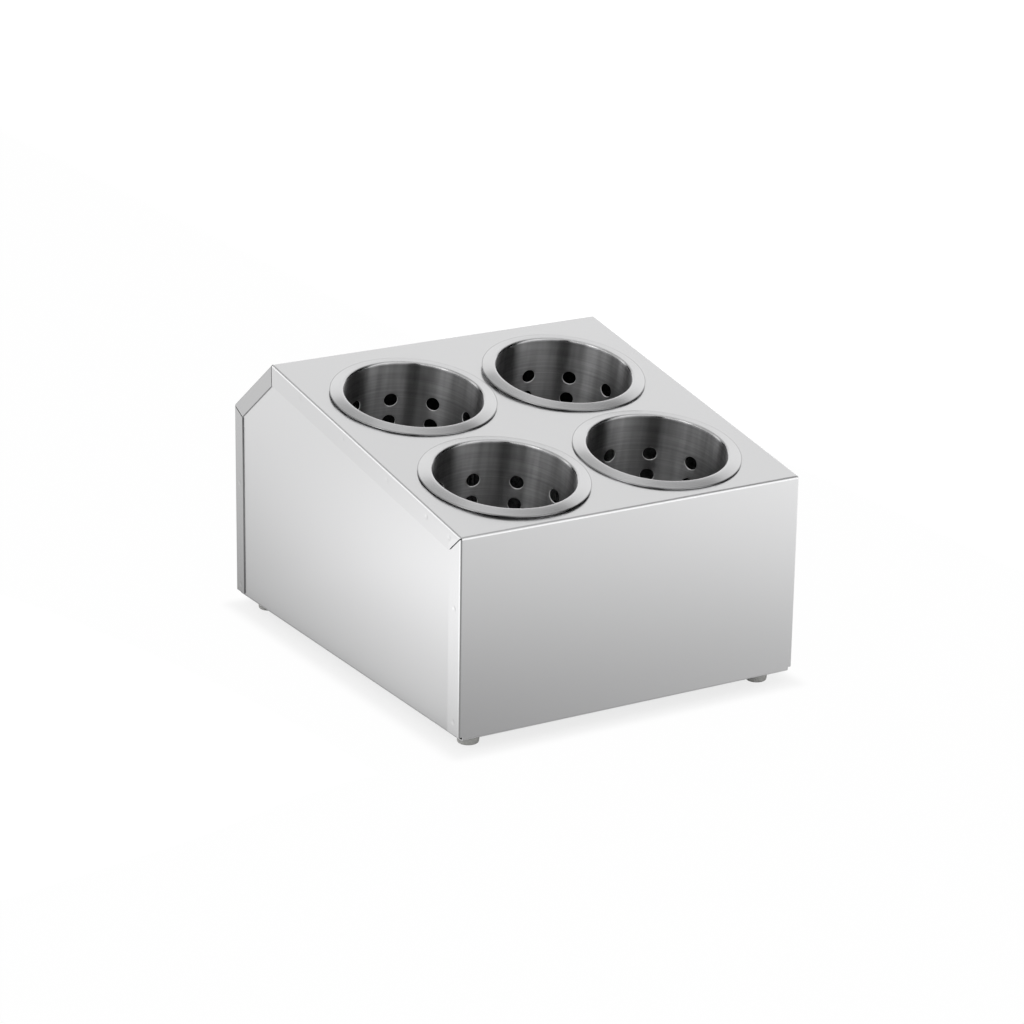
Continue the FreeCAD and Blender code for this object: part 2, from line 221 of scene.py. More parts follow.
class StudioSettings(bpy.types.PropertyGroup):
    """Camera and light."""
    lens: FloatProperty(name="Lens", description="Focal length", default=123.63, subtype="DISTANCE_CAMERA")
    sky: share("Sky", "Strength of the soft light from all round", 0.6)
    zenith: share("Zenith", "How bright the studio is overhead, in mirror rays", 0.4)
    key: power("Key", "Power of the large light on the left", 11.0)
    fill: power("Fill", "Power of the light above", 4.0)


# Modelling helpers
def focus(piece):
    """Make a piece the only selected one, and the active one."""
    bpy.ops.object.select_all(action="DESELECT")
    piece.select_set(True)
    bpy.context.view_layer.objects.active = piece


@contextmanager
def editing(piece):
    """Edit mode on one piece, with nothing selected at first."""
    focus(piece)
    bpy.ops.object.mode_set(mode="EDIT")
    bpy.ops.mesh.select_all(action="DESELECT")
    yield
    bpy.ops.object.mode_set(mode="OBJECT")


def pick(piece, kind, wanted):
    """Select, in edit mode, only the vertices, edges or faces that are wanted."""
    bpy.ops.mesh.select_mode(type=kind)
    bpy.ops.mesh.select_all(action="DESELECT")
    mesh = bmesh.from_edit_mesh(piece.data)
    items = {"VERT": mesh.verts, "EDGE": mesh.edges, "FACE": mesh.faces}[kind]
    for item in items:
        if wanted(item):
            item.select_set(True)
    mesh.select_flush_mode()
    bmesh.update_edit_mesh(piece.data)


def pick_edges(piece, at_place):
    """Select, in edit mode, the edges whose ends are both at a place."""
    pick(piece, "EDGE", lambda edge: all(at_place(vert.co) for vert in edge.verts))


def round_edges(offset, segments):
    """Round the selected edges, in edit mode."""
    bpy.ops.mesh.bevel(offset=offset, segments=segments, affect="EDGES", clamp_overlap=False)


def face_outwards():
    """Turn all faces outwards, in edit mode."""
    bpy.ops.mesh.select_all(action="SELECT")
    bpy.ops.mesh.normals_make_consistent(inside=False)


def settle(name=None):
    """Put the active object's place into its mesh, and name it."""
    bpy.ops.object.transform_apply(location=True, rotation=True, scale=True)
    piece = bpy.context.object
    if name:
        piece.name = name
        piece.data.name = name
    return piece


def finish_with(piece, kind, **settings):
    """Add a modifier to a piece and apply it."""
    focus(piece)
    modifier = piece.modifiers.new(kind.title(), kind)
    for key, value in settings.items():
        setattr(modifier, key, value)
    bpy.ops.object.modifier_apply(modifier=modifier.name)


def thicken(piece, sheet):
    """Give a skin the thickness of its sheet, inwards."""
    finish_with(piece, "SOLIDIFY", thickness=sheet, offset=-1, use_even_offset=True)


def ease_edges(piece):
    """Round the sheared edges of a cylinder's sheet a little."""
    finish_with(piece, "BEVEL", width=EASED_EDGE, segments=2, limit_method="ANGLE",
                angle_limit=math.radians(50))


def discard(piece):
    focus(piece)
    bpy.ops.object.delete()


def block(centre, size, tilt=0.0):
    """Box at a centre, tilted about X."""
    bpy.ops.object.select_all(action="DESELECT")
    bpy.ops.mesh.primitive_cube_add(size=1, location=centre, rotation=(tilt, 0, 0))
    bpy.context.object.scale = size
    return settle()


def rod(place, radius, low, high, vertices):
    """Round bar along a placement's own Z."""
    bpy.ops.object.select_all(action="DESELECT")
    bpy.ops.mesh.primitive_cylinder_add(vertices=vertices, radius=radius, depth=high - low)
    bpy.context.object.matrix_world = place @ Matrix.Translation((0, 0, (low + high) / 2))
    return settle()


def slab(points, x_from, x_to):
    """Block with a convex side outline of (y, z) points, trimmed plane by plane."""
    lows = [min(values) - CUT for values in zip(*points)]
    highs = [max(values) + CUT for values in zip(*points)]
    size = (x_to - x_from, highs[0] - lows[0], highs[1] - lows[1])
    centre = ((x_from + x_to) / 2, (lows[0] + highs[0]) / 2, (lows[1] + highs[1]) / 2)
    piece = block(centre, size)
    with editing(piece):
        for index, (y, z) in enumerate(points):
            next_y, next_z = points[(index + 1) % len(points)]
            bpy.ops.mesh.select_all(action="SELECT")
            bpy.ops.mesh.bisect(plane_co=(0, y, z), plane_no=(0, z - next_z, next_y - y), use_fill=True,
                                clear_outer=True)
    return piece


def cut(piece, cutters):
    """Take the cutters away from a piece."""
    focus(cutters[0])
    for cutter in cutters:
        cutter.select_set(True)
    if len(cutters) > 1:
        bpy.ops.object.join()
    tool = bpy.context.object
    finish_with(piece, "BOOLEAN", operation="DIFFERENCE", solver="EXACT", object=tool)
    discard(tool)


def smooth(piece, degrees=30):
    """Smooth shading on the rounded parts, with the flat faces kept flat."""
    focus(piece)
    bpy.ops.object.shade_smooth_by_angle(angle=math.radians(degrees))
    finish_with(piece, "WEIGHTED_NORMAL", keep_sharp=True, weight=90)


def twin(piece, name, place):
    """Copy of a piece with its own mesh, moved to a placement."""
    focus(piece)
    bpy.ops.object.duplicate(linked=False)
    bpy.context.object.matrix_world = place
    return settle(name)


def stands_for(piece, node, body, slot, *materials):
    """Dress a piece, and let it take a solid's place on its body."""
    piece.data.materials.clear()
    for material in materials:
        piece.data.materials.append(material)
    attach(piece, body)
    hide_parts(node)


# Side view of the housing
def side_outline(sizes):
    """Housing outline as (y, z) points, clockwise from the front's lower edge."""
    front = -sizes.depth / 2
    back = sizes.depth / 2
    low = sizes.lower_edge
    top = low + sizes.front_height
    apex = (front + sizes.slope_length * math.cos(sizes.slope_angle),
            top + sizes.slope_length * math.sin(sizes.slope_angle))
    return [(front, low), (front, top), apex, (back, apex[1] - sizes.chamfer_drop), (back, low)]


def inset(points, distances):
    """Move each edge of an outline inwards by its own distance."""
    lines = []
    for index, point in enumerate(points):
        start = Vector(point)
        along = (Vector(points[(index + 1) % len(points)]) - start).normalized()
        lines.append((start + Vector((along.y, -along.x)) * distances[index], along))
    moved = []
    for index, (start, along) in enumerate(lines):
        before, before_along = lines[index - 1]
        reach = (start - before).cross(along) / before_along.cross(along)
        moved.append(tuple(before + before_along * reach))
    return moved


def turn_at(points, index):
    """Angle that an outline turns through at a corner."""
    corner = Vector(points[index])
    arriving = corner - Vector(points[index - 1])
    leaving = Vector(points[(index + 1) % len(points)]) - corner
    return arriving.angle(leaving)


def hole_place(housing, cylinders, column, row):
    """Placement of a cylinder's hole in the sloped top, with Z square to it."""
    along = cylinders.front_row + row * cylinders.row_step
    slope = housing.slope_angle
    y = -housing.depth / 2 + along * math.cos(slope)
    z = housing.lower_edge + housing.front_height + along * math.sin(slope)
    return Matrix.Translation((column * cylinders.column_step / 2, y, z)) @ Matrix.Rotation(slope, 4, "X")


def foot_place(housing, feet, corner):
    x = corner[0] * (housing.width / 2 - feet.inset)
    y = corner[1] * (housing.depth / 2 - feet.inset)
    return Matrix.Translation((x, y, 0))


def screw_drills(housing, feet):
    drills = []
    for corner in FEET.values():
        drills.append(rod(foot_place(housing, feet, corner), feet.screw_hole, 0, DRILL_TOP, 32))
    return drills


# Materials
def tint(tone, factor):
    return tuple(min(1.0, part * factor) for part in tone) + (1.0,)


class Tree:
    """Node tree of a material or a world, with short ways to add to it."""

    def __init__(self, owner):
        owner.use_nodes = True
        self.nodes = owner.node_tree.nodes
        self.links = owner.node_tree.links
        self.shader = self.nodes.get("Principled BSDF")

    def fill(self, node, values):
        """Give a node's inputs their values, or join sockets to them."""
        for key, value in values.items():
            if isinstance(value, bpy.types.NodeSocket):
                self.links.new(value, node.inputs[key])
            else:
                node.inputs[key].default_value = value

    def add(self, kind, values, **settings):
        """Add a node with its settings and inputs."""
        node = self.nodes.new(kind)
        for key, value in settings.items():
            setattr(node, key, value)
        self.fill(node, values)
        return node

    def place(self, kind):
        return self.add("ShaderNodeTexCoord", {}).outputs[kind]

    def axes(self, vector):
        return self.add("ShaderNodeSeparateXYZ", {"Vector": vector}).outputs

    def joined(self, **parts):
        return self.add("ShaderNodeCombineXYZ", parts).outputs["Vector"]

    def mapped(self, vector, scale, shift=(0, 0, 0)):
        values = {"Vector": vector, "Scale": scale, "Location": shift}
        return self.add("ShaderNodeMapping", values).outputs["Vector"]

    def noise(self, vector, scale, detail, roughness=0.5):
        values = {"Vector": vector, "Scale": scale, "Detail": detail, "Roughness": roughness}
        return self.add("ShaderNodeTexNoise", values).outputs["Fac"]

    def calc(self, operation, *terms):
        """Math on sockets and numbers."""
        return self.add("ShaderNodeMath", dict(enumerate(terms)), operation=operation).outputs["Value"]

    def ramp(self, source, from_low, from_high, to_low, to_high, kind="SMOOTHSTEP"):
        """Change of a value between two limits."""
        values = {"Value": source, "From Min": from_low, "From Max": from_high, "To Min": to_low,
                  "To Max": to_high}
        return self.add("ShaderNodeMapRange", values, interpolation_type=kind).outputs["Result"]

    def graded(self, noise, low, high):
        """Noise mapped to a narrow range."""
        return self.ramp(noise, 0.3, 0.7, low, high, "LINEAR")

    def tones(self, factor, tone, low, high):
        """Colour the surface between two tints of a tone."""
        ends = {"Factor": factor, "A": tint(tone, low), "B": tint(tone, high)}
        mix = self.add("ShaderNodeMix", ends, data_type="RGBA")
        self.fill(self.shader, {"Base Color": mix.outputs["Result"]})

    def over_colour(self, factor, tone, kind="MIX"):
        """Blend a tone over the surface's colour so far."""
        so_far = self.shader.inputs["Base Color"].links[0].from_socket
        layers = {"Factor": factor, "A": so_far, "B": tone}
        mix = self.add("ShaderNodeMix", layers, data_type="RGBA", blend_type=kind)
        self.fill(self.shader, {"Base Color": mix.outputs["Result"]})

    def relief(self, height, strength, distance):
        """Bump on the surface."""
        values = {"Height": height, "Strength": strength, "Distance": distance}
        self.fill(self.shader, {"Normal": self.add("ShaderNodeBump", values).outputs["Normal"]})

    def mirror_rays(self, rays):
        return self.calc("MAXIMUM", rays["Is Glossy Ray"], rays["Is Transmission Ray"])


def new_material(name):
    material = bpy.data.materials.new(name)
    return material, Tree(material)


def brushed_finish(tree, grain, place, tone, contrast, wave):
    """Streaks along a grain, in colour and roughness, over a slight waviness of the sheet."""
    streaks = tree.noise(grain, 1.0, 3.0, 0.6)
    tree.tones(tree.graded(streaks, 0.0, 1.0), tone, 1 - contrast, 1 + contrast)
    tree.relief(tree.noise(place, wave, 1.0), 0.12, 0.002)
    return tree.graded(streaks, -0.004, 0.004)


def brushed_sheet(name, finishes, grain_scale, factor=1.0):
    """Housing sheet with straight brushing: the grain runs where the scale is small."""
    material, tree = new_material(name)
    place = tree.place("Object")
    tone = tint(finishes.housing, factor)[:3]
    streaks = brushed_finish(tree, tree.mapped(place, grain_scale), place, tone, finishes.streaks, 9.0)
    roughness = tree.calc("ADD", streaks, finishes.housing_roughness)
    tree.fill(tree.shader, {"Metallic": 1.0, "Roughness": roughness})
    return material


def rolled_sheet(name, finishes, cylinders, seat):
    """Cylinder sheet brushed round its own axis, from the rim down to the foot, with painted shade along the
    rim's outer edge and a painted highlight in the drain holes.
    """
    material, tree = new_material(name)
    place = tree.place("Object")
    values = {"Vector": place, "Location": seat.translation, "Rotation": seat.to_euler()}
    own = tree.add("ShaderNodeMapping", values, vector_type="TEXTURE").outputs["Vector"]
    axes = tree.axes(own)
    flat = tree.joined(X=axes["X"], Y=axes["Y"])
    radius = tree.add("ShaderNodeVectorMath", {0: flat}, operation="LENGTH").outputs["Value"]
    profile = tree.calc("ADD", radius, axes["Z"])
    grain = tree.mapped(tree.joined(X=axes["X"], Y=axes["Y"], Z=profile), (14, 14, 600))
    # The wall's dark tone is painted shade of the cylinder's inside and of its outside seen through the
    # holes.
    streaks = brushed_finish(tree, grain, place, finishes.cylinder, finishes.ring_streaks, 22.0)
    blotches = tree.noise(tree.mapped(own, (60, 60, 7), seat.translation * 90), 1.0, 3.0, 0.6)
    uneven = tree.graded(blotches, 1 - finishes.blotches, 1 + finishes.blotches)
    tree.over_colour(1.0, uneven, "MULTIPLY")
    lip = cylinders.bore / 2
    edge = cylinders.rim / 2
    roughness = tree.ramp(radius, lip + 0.0001, lip + 0.0004, finishes.cylinder_roughness,
                          finishes.rim_roughness)
    above = tree.ramp(axes["Z"], -0.004, -0.002, 0.0, 1.0)
    past_lip = tree.ramp(radius, lip + 0.0003, lip + 0.0007, 0.0, 1.0)
    # Painted shade: a darker band of the rim's tint along its outer edge.
    painted_edge_shade = tree.ramp(radius, edge - 0.0007, edge - 0.0003, 0.0, 1.0)
    past_inside = tree.ramp(radius, lip + 0.00005, lip + 0.0002, 0.0, 1.0)
    short_of_outside = tree.ramp(radius, lip + 0.0005, lip + 0.0006, 1.0, 0.0)
    in_sheet = tree.calc("MULTIPLY", past_inside, short_of_outside)
    # Painted highlight inside the drain holes: near-white colour, and no metal there.
    in_hole = tree.calc("MULTIPLY", tree.calc("SUBTRACT", 1.0, above), in_sheet)
    tree.over_colour(tree.calc("MULTIPLY", above, past_lip), tint(finishes.rim, 1.0))
    tree.over_colour(painted_edge_shade, tint(finishes.rim, 0.6))
    tree.over_colour(in_hole, tint(finishes.painted_hole_highlight, 1.0))
    round_ways = tree.add("ShaderNodeVectorRotate", {"Vector": flat, "Angle": math.pi / 2},
                          rotation_type="Z_AXIS")
    values = {"Vector": round_ways.outputs["Vector"], "Angle": seat.to_euler().x}
    tangent = tree.add("ShaderNodeVectorRotate", values, rotation_type="X_AXIS")
    tree.fill(tree.shader, {
        "Metallic": tree.calc("SUBTRACT", 1.0, in_hole),
        "Roughness": tree.calc("ADD", streaks, roughness),
        "Anisotropic": 1.0,
        "Anisotropic Rotation": 0.25,
        "Tangent": tangent.outputs["Vector"],
    })
    return material


def pale_rubber(name, finishes):
    """Pale, slightly see-through rubber with a matt moulded skin."""
    material, tree = new_material(name)
    place = tree.place("Object")
    cloud = tree.noise(place, 260.0, 3.0)
    tree.tones(cloud, finishes.rubber, 0.9, 1.08)
    tree.relief(tree.noise(place, 2400.0, 2.0), 0.25, 0.0001)
    tree.fill(tree.shader, {
        "Roughness": tree.graded(cloud, 0.42, 0.58),
        "Subsurface Weight": 0.3,
        "Subsurface Radius": (0.004, 0.004, 0.004),
        "Subsurface Scale": 1.0,
    })
    return material


def fastener_steel(name, finishes):
    """Plain bright steel with faint turning marks and handling dulling."""
    material, tree = new_material(name)
    place = tree.place("Object")
    turning = tree.mapped(place, (300, 300, 4000))
    streaks = brushed_finish(tree, turning, place, finishes.fastener, 0.03, 120.0)
    tree.fill(tree.shader, {"Metallic": 1.0, "Roughness": tree.calc("ADD", streaks, 0.3)})
    return material


# Pieces of the housing
def wrapper_skin(housing, outline):
    """Closed skin of the housing with its bends and side folds rounded."""
    side = housing.width / 2
    panel = slab(outline, -side, side)
    with editing(panel):
        for index, (y, z) in enumerate(outline):
            pick_edges(panel, lambda at: math.hypot(at.y - y, at.z - z) < TOUCH)
            round_edges(housing.bend_radius * math.tan(turn_at(outline, index) / 2), 8)
        pick(panel, "EDGE", lambda edge: abs(sum(vert.co.x for vert in edge.verts)) > 2 * side - TOUCH)
        round_edges(housing.fold_radius, 6)
        face_outwards()
    thicken(panel, housing.sheet)
    return panel


def flange_window(housing):
    """Outline of the flanges' inner edges, open below."""
    distances = [housing.flange, housing.flange, housing.rear_flange, housing.rear_flange, -CUT]
    return inset(side_outline(housing), distances)


def mitre_slits(housing, sign, depth, overrun):
    """Narrow cuts on one side, from the three bends to the flanges' inner edges."""
    slits = []
    for corner, inner in list(zip(side_outline(housing), flange_window(housing)))[1:4]:
        along = Vector(inner) - Vector(corner)
        middle = (Vector(inner) + Vector(corner)) / 2
        size = (depth + CUT, along.length + 2 * overrun, housing.mitre_gap)
        centre = (sign * (housing.width / 2 + (CUT - depth) / 2), middle.x, middle.y)
        slits.append(block(centre, size, math.atan2(along.y, along.x)))
    return slits


def weld_dent(housing, sign, y, z):
    """Shallow cap of a large ball, to sink into a side flange."""
    bpy.ops.object.select_all(action="DESELECT")
    x = sign * (housing.width / 2 + WELD_BALL - housing.weld_depth)
    bpy.ops.mesh.primitive_uv_sphere_add(segments=24, ring_count=96, radius=WELD_BALL, location=(x, y, z),
                                         rotation=(0, math.pi / 2, 0))
    return settle()


def weld_places(housing, outline):
    """Places of the spot welds on a side, as (y, z)."""
    slope = Vector((math.cos(housing.slope_angle), math.sin(housing.slope_angle)))
    inwards = Vector((slope.y, -slope.x))
    margin, places_along = SLOPE_WELDS
    places = [Vector(outline[1]) + slope * along + inwards * margin for along in places_along]
    for sign, (margin, heights) in ((1, BACK_WELDS), (-1, FRONT_WELDS)):
        for height in heights:
            places.append(Vector((sign * (housing.depth / 2 - margin), housing.lower_edge + height)))
    return places


def make_wrapper(housing, cylinders, feet):
    """Front, sloped top, chamfer and back from one sheet, with side flanges and bottom returns."""
    outline = side_outline(housing)
    side = housing.width / 2
    front = -housing.depth / 2
    low = housing.lower_edge
    panel = wrapper_skin(housing, outline)
    window = flange_window(housing)
    inner = side - housing.fold_radius
    cut(panel, [slab(window, inner, side + CUT), slab(window, -side - CUT, -inner)])
    for sign in (-1, 1):
        cut(panel, mitre_slits(housing, sign, housing.fold_radius, CUT))
    opening = (housing.width + 2 * CUT, housing.depth - 2 * housing.return_width, 2 * CUT)
    cut(panel, [block((0, 0, low), opening)])
    notch = (housing.corner_relief + CUT, housing.return_width + CUT, housing.corner_relief + CUT)
    x = side + (CUT - housing.corner_relief) / 2
    y = front + (housing.return_width - CUT) / 2
    z = low + (housing.corner_relief - CUT) / 2
    cut(panel, [block((sx * x, sy * y, z), notch) for sx, sy in FEET.values()])
    mouths = []
    for column, row, *lie in CYLINDERS.values():
        mouths.append(rod(hole_place(housing, cylinders, column, row), housing.mouth_radius, -CUT, CUT, 128))
    cut(panel, mouths)
    cut(panel, screw_drills(housing, feet))
    dents = []
    for y, z in weld_places(housing, outline):
        dents += [weld_dent(housing, sign, y, z) for sign in (-1, 1)]
    cut(panel, dents)
    return panel


def give_finishes_and_painted_shade(panel, housing):
    """Give a wrapper's faces their finishes: the sheet, three flanges in copies darkened as painted shade,
    and cut edges with the inner side in the darkest copy, also painted shade.
    """
    fold = housing.width / 2 - housing.sheet * 0.9
    front = housing.flange - housing.depth / 2
    apex = side_outline(housing)[2][0]
    middle = Vector((0, 0, housing.lower_edge + housing.width / 4))
    for face in panel.data.polygons:
        cut_edge = abs(face.normal.x) < 0.1 and abs(face.center.x) > fold
        inner_side = face.normal.dot(middle - face.center) > 0.04
        if cut_edge or inner_side:
            # Painted shade: cut edges and the inner side take the darkest copy of the steel.
            face.material_index = 4
        elif abs(face.normal.x) > 0.7:
            face.material_index = 1 + int(face.center.y > front) + int(face.center.y > apex)


def make_side_panel(housing, feet):
    """Right-hand side sheet inside the flanges, with a return at the bottom."""
    side = housing.width / 2
    outer = side - housing.sheet
    edge = housing.fold_radius + housing.panel_gap
    bottom = housing.lower_edge + housing.sheet
    outline = inset(side_outline(housing), [edge, edge, edge, edge, housing.sheet])
    panel = slab(outline, side - housing.side_return, outer)
    with editing(panel):
        pick(panel, "FACE", lambda face: face.normal.x < 0.9 and face.normal.z > -0.9)
        bpy.ops.mesh.delete(type="FACE")
        pick_edges(panel, lambda at: at.x > outer - TOUCH and at.z < bottom + TOUCH)
        round_edges(housing.bend_radius, 6)
    thicken(panel, housing.sheet)
    notches = []
    for sign in (-1, 1):
        size = (NOTCH_WIDTH, housing.return_setback + CUT, housing.sheet + housing.bend_radius + CUT)
        y = sign * (housing.depth / 2 + (CUT - housing.return_setback) / 2)
        notches.append(block((side, y, bottom + housing.bend_radius - size[2] / 2), size))
    cut(panel, notches)
    cut(panel, mitre_slits(housing, 1, 3 * housing.sheet, -SLIT_SHORTFALL))
    cut(panel, screw_drills(housing, feet))
    return panel


# Pieces of the cylinders
def perforated_sheet(cylinders):
    """Flat sheet with its rows of round holes, as wide as the wall is round, hanging below Z 0."""
    width = math.pi * cylinders.bore / cylinders.columns
    height = cylinders.pitch
    middle = Vector((-width * (cylinders.columns - 1) / 2, 0, -cylinders.first_row))
    bpy.ops.object.select_all(action="DESELECT")
    bpy.ops.mesh.primitive_grid_add(x_subdivisions=20, y_subdivisions=12, size=1, location=middle,
                                    rotation=(math.pi / 2, 0, 0))
    bpy.context.object.scale = (width, height, 1)
    sheet = settle()
    with editing(sheet):
        def in_hole(face):
            offset = face.calc_center_median() - middle
            return abs(offset.x) < width / 5 and abs(offset.z) < height / 3
        pick(sheet, "FACE", in_hole)
        bpy.ops.mesh.delete(type="FACE")

        def on_hole(vert):
            offset = vert.co - middle
            return vert.is_boundary and abs(offset.x) < width / 4 and abs(offset.z) < height * 0.4
        pick(sheet, "VERT", on_hole)
        bpy.ops.transform.tosphere(value=1)
        loop = [vert.co - middle for vert in bmesh.from_edit_mesh(sheet.data).verts if vert.select]
        ratio = cylinders.drain_hole / 2 / loop[0].length
        bpy.ops.transform.resize(value=(ratio, ratio, ratio), center_override=middle)
    finish_with(sheet, "ARRAY", count=cylinders.columns, use_relative_offset=False, use_constant_offset=True,
                constant_offset_displace=(width, 0, 0), use_merge_vertices=True, merge_threshold=TOUCH)
    finish_with(sheet, "ARRAY", count=cylinders.rows, use_relative_offset=False, use_constant_offset=True,
                constant_offset_displace=(0, 0, -height), use_merge_vertices=True, merge_threshold=TOUCH)
    return sheet


def extrude_edge(piece, level, target):
    """Draw the sheet's edge at one height out to another."""
    with editing(piece):
        pick_edges(piece, lambda at: abs(at.z - level) < TOUCH)
        bpy.ops.mesh.extrude_region_move(TRANSFORM_OT_translate={"value": (0, 0, target - level)})


def rim_profile(cylinders):
    """Points of the mouth's lip and the rim's crowned fall, as (radius, height)."""
    bore = cylinders.bore / 2
    lip = cylinders.lip_radius
    crest = cylinders.rim_crest
    points = []
    for step in range(1, 8):
        turn = math.radians(90) * step / 7
        points.append((bore + lip - lip * math.cos(turn), crest - lip + lip * math.sin(turn)))
    run = cylinders.rim / 2 - points[-1][0]
    for step in range(1, 11):
        along = step / 10
        points.append((bore + lip + run * along, crest - (crest - cylinders.rim_edge) * along ** RIM_FALL))
    return points


def make_wall(cylinders):
    """Rolled perforated wall with a flared, crowned rim, about Z."""
    wall = perforated_sheet(cylinders)
    highest = -cylinders.first_row + cylinders.pitch / 2
    lowest = -cylinders.first_row - (cylinders.rows - 0.5) * cylinders.pitch
    lip_start = cylinders.rim_crest - cylinders.lip_radius
    extrude_edge(wall, highest, lip_start)
    extrude_edge(wall, lowest, -cylinders.depth)
    finish_with(wall, "SIMPLE_DEFORM", deform_method="BEND", deform_axis="Z", angle=2 * math.pi)
    bore = cylinders.bore / 2
    with editing(wall):
        bpy.ops.mesh.select_all(action="SELECT")
        bpy.ops.transform.translate(value=(0, -bore, 0))
        bpy.ops.mesh.remove_doubles(threshold=2 * TOUCH)
        pick_edges(wall, lambda at: abs(at.z - lip_start) < TOUCH)
        radius = bore
        height = lip_start
        for next_radius, next_height in rim_profile(cylinders):
            bpy.ops.mesh.extrude_region_move(TRANSFORM_OT_translate={"value": (0, 0, next_height - height)})
            ratio = next_radius / radius
            bpy.ops.transform.resize(value=(ratio, ratio, 1), center_override=(0, 0, 0))
            radius = next_radius
            height = next_height
        face_outwards()
        faces = bmesh.from_edit_mesh(wall.data).faces
        faces.ensure_lookup_table()
        if faces[0].normal.dot(faces[0].calc_center_median() * Vector((1, 1, 0))) > 0:
            bpy.ops.mesh.flip_normals()
    thicken(wall, cylinders.sheet)
    with editing(wall):
        def inside_hole(edge):
            inner = all(vert.co.xy.length < bore + TOUCH for vert in edge.verts)
            above_foot = all(vert.co.z > 1e-4 - cylinders.depth for vert in edge.verts)
            return inner and above_foot and edge.calc_face_angle(0) > 1
        pick(wall, "EDGE", inside_hole)
        round_edges(cylinders.punch, 3)
    ease_edges(wall)
    smooth(wall)
    return wall


def make_base(cylinders):
    """Pressed base with a turned-down edge and rings of drain holes, about Z."""
    radius = cylinders.bore / 2 - cylinders.base_fit
    low = -cylinders.depth
    top = low + cylinders.base_flange
    base = rod(Matrix.Identity(4), radius, low, top, 96)
    with editing(base):
        pick(base, "FACE", lambda face: face.normal.z < -0.9)
        bpy.ops.mesh.delete(type="FACE")
        pick_edges(base, lambda at: at.z > top - TOUCH)
        round_edges(cylinders.base_bend, 5)
    thicken(base, cylinders.sheet)
    drill = cylinders.drain_hole / 2
    spacing = (radius - cylinders.base_margin - drill) / cylinders.base_rings
    places = [Matrix.Identity(4)]
    for ring in range(1, cylinders.base_rings + 1):
        for hole in range(6 * ring):
            turn = Matrix.Rotation(2 * math.pi * hole / (6 * ring), 4, "Z")
            places.append(turn @ Matrix.Translation((ring * spacing, 0, 0)))
    cut(base, [rod(place, drill, top - CUT, top + CUT, 32) for place in places])
    ease_edges(base)
    smooth(base)
    return base


def make_foot(feet):
    """Tapered rubber foot with a rounded lower edge, a recess for the screw head and a screw hole."""
    bpy.ops.object.select_all(action="DESELECT")
    bpy.ops.mesh.primitive_cone_add(vertices=64, radius1=feet.tip / 2, radius2=feet.diameter / 2,
                                    depth=feet.height, location=(0, 0, feet.height / 2))
    foot = settle()
    with editing(foot):
        pick_edges(foot, lambda at: at.z < TOUCH)
        round_edges(feet.edge_radius, 6)
        pick_edges(foot, lambda at: at.z > feet.height - TOUCH)
        round_edges(EASED_FOOT, 3)
    cut(foot, [rod(Matrix.Identity(4), feet.recess, -CUT, feet.recess_height, 48)])
    cut(foot, [rod(Matrix.Identity(4), feet.screw_hole, 0, feet.height + CUT, 32)])
    smooth(foot)
    return foot


# Operators
def settings():
    scene = bpy.context.scene
    return scene.cutlery_housing, scene.cutlery_cylinders, scene.cutlery_feet, scene.cutlery_finishes


class CUTLERY_OT_wrapper(bpy.types.Operator):
    """Fold the front, sloped top, chamfer and back from one brushed sheet"""
    bl_idname = "cutlery.wrapper"
    bl_label = "Wrapper Panel"
    bl_options = {"REGISTER", "UNDO"}

    def execute(self, context):
        housing, cylinders, feet, finishes = settings()
        panel = make_wrapper(housing, cylinders, feet)
        smooth(panel)
        panel = settle("wrapper_sheet")
        lengthwise = brushed_sheet("wrapper_brushing", finishes, (1300, 10, 10))
        # The flange copies are the same brushed steel made darker as painted shade: the slope flange a
        # little, the rear flanges more, and the cut edges with the inner side most.
        upright = [brushed_sheet(name + "_flange_brushing", finishes, (20, 1300, 10), factor)
                   for name, factor in (("front", 1.0), ("slope", 0.95), ("rear", 0.75), ("edge", 0.3))]
        stands_for(panel, "wrapper_panel", "housing", "housing_steel", lengthwise, *upright)
        give_finishes_and_painted_shade(panel, housing)
        return {"FINISHED"}


class CUTLERY_OT_side_panels(bpy.types.Operator):
    """Fold the two side sheets that sit inside the flanges"""
    bl_idname = "cutlery.side_panels"
    bl_label = "Side Panels"
    bl_options = {"REGISTER", "UNDO"}

    def execute(self, context):
        housing, cylinders, feet, finishes = settings()
        right = make_side_panel(housing, feet)
        smooth(right)
        right = settle("right_side_sheet")
        left = twin(right, "left_side_sheet", Matrix.Scale(-1, 4, (1, 0, 0)))
        with editing(left):
            face_outwards()
        brushing = brushed_sheet("side_brushing", finishes, (20, 1300, 10))
        stands_for(right, "right_side_panel", "housing", "housing_steel", brushing)
        stands_for(left, "left_side_panel", "housing", "housing_steel", brushing)
        return {"FINISHED"}


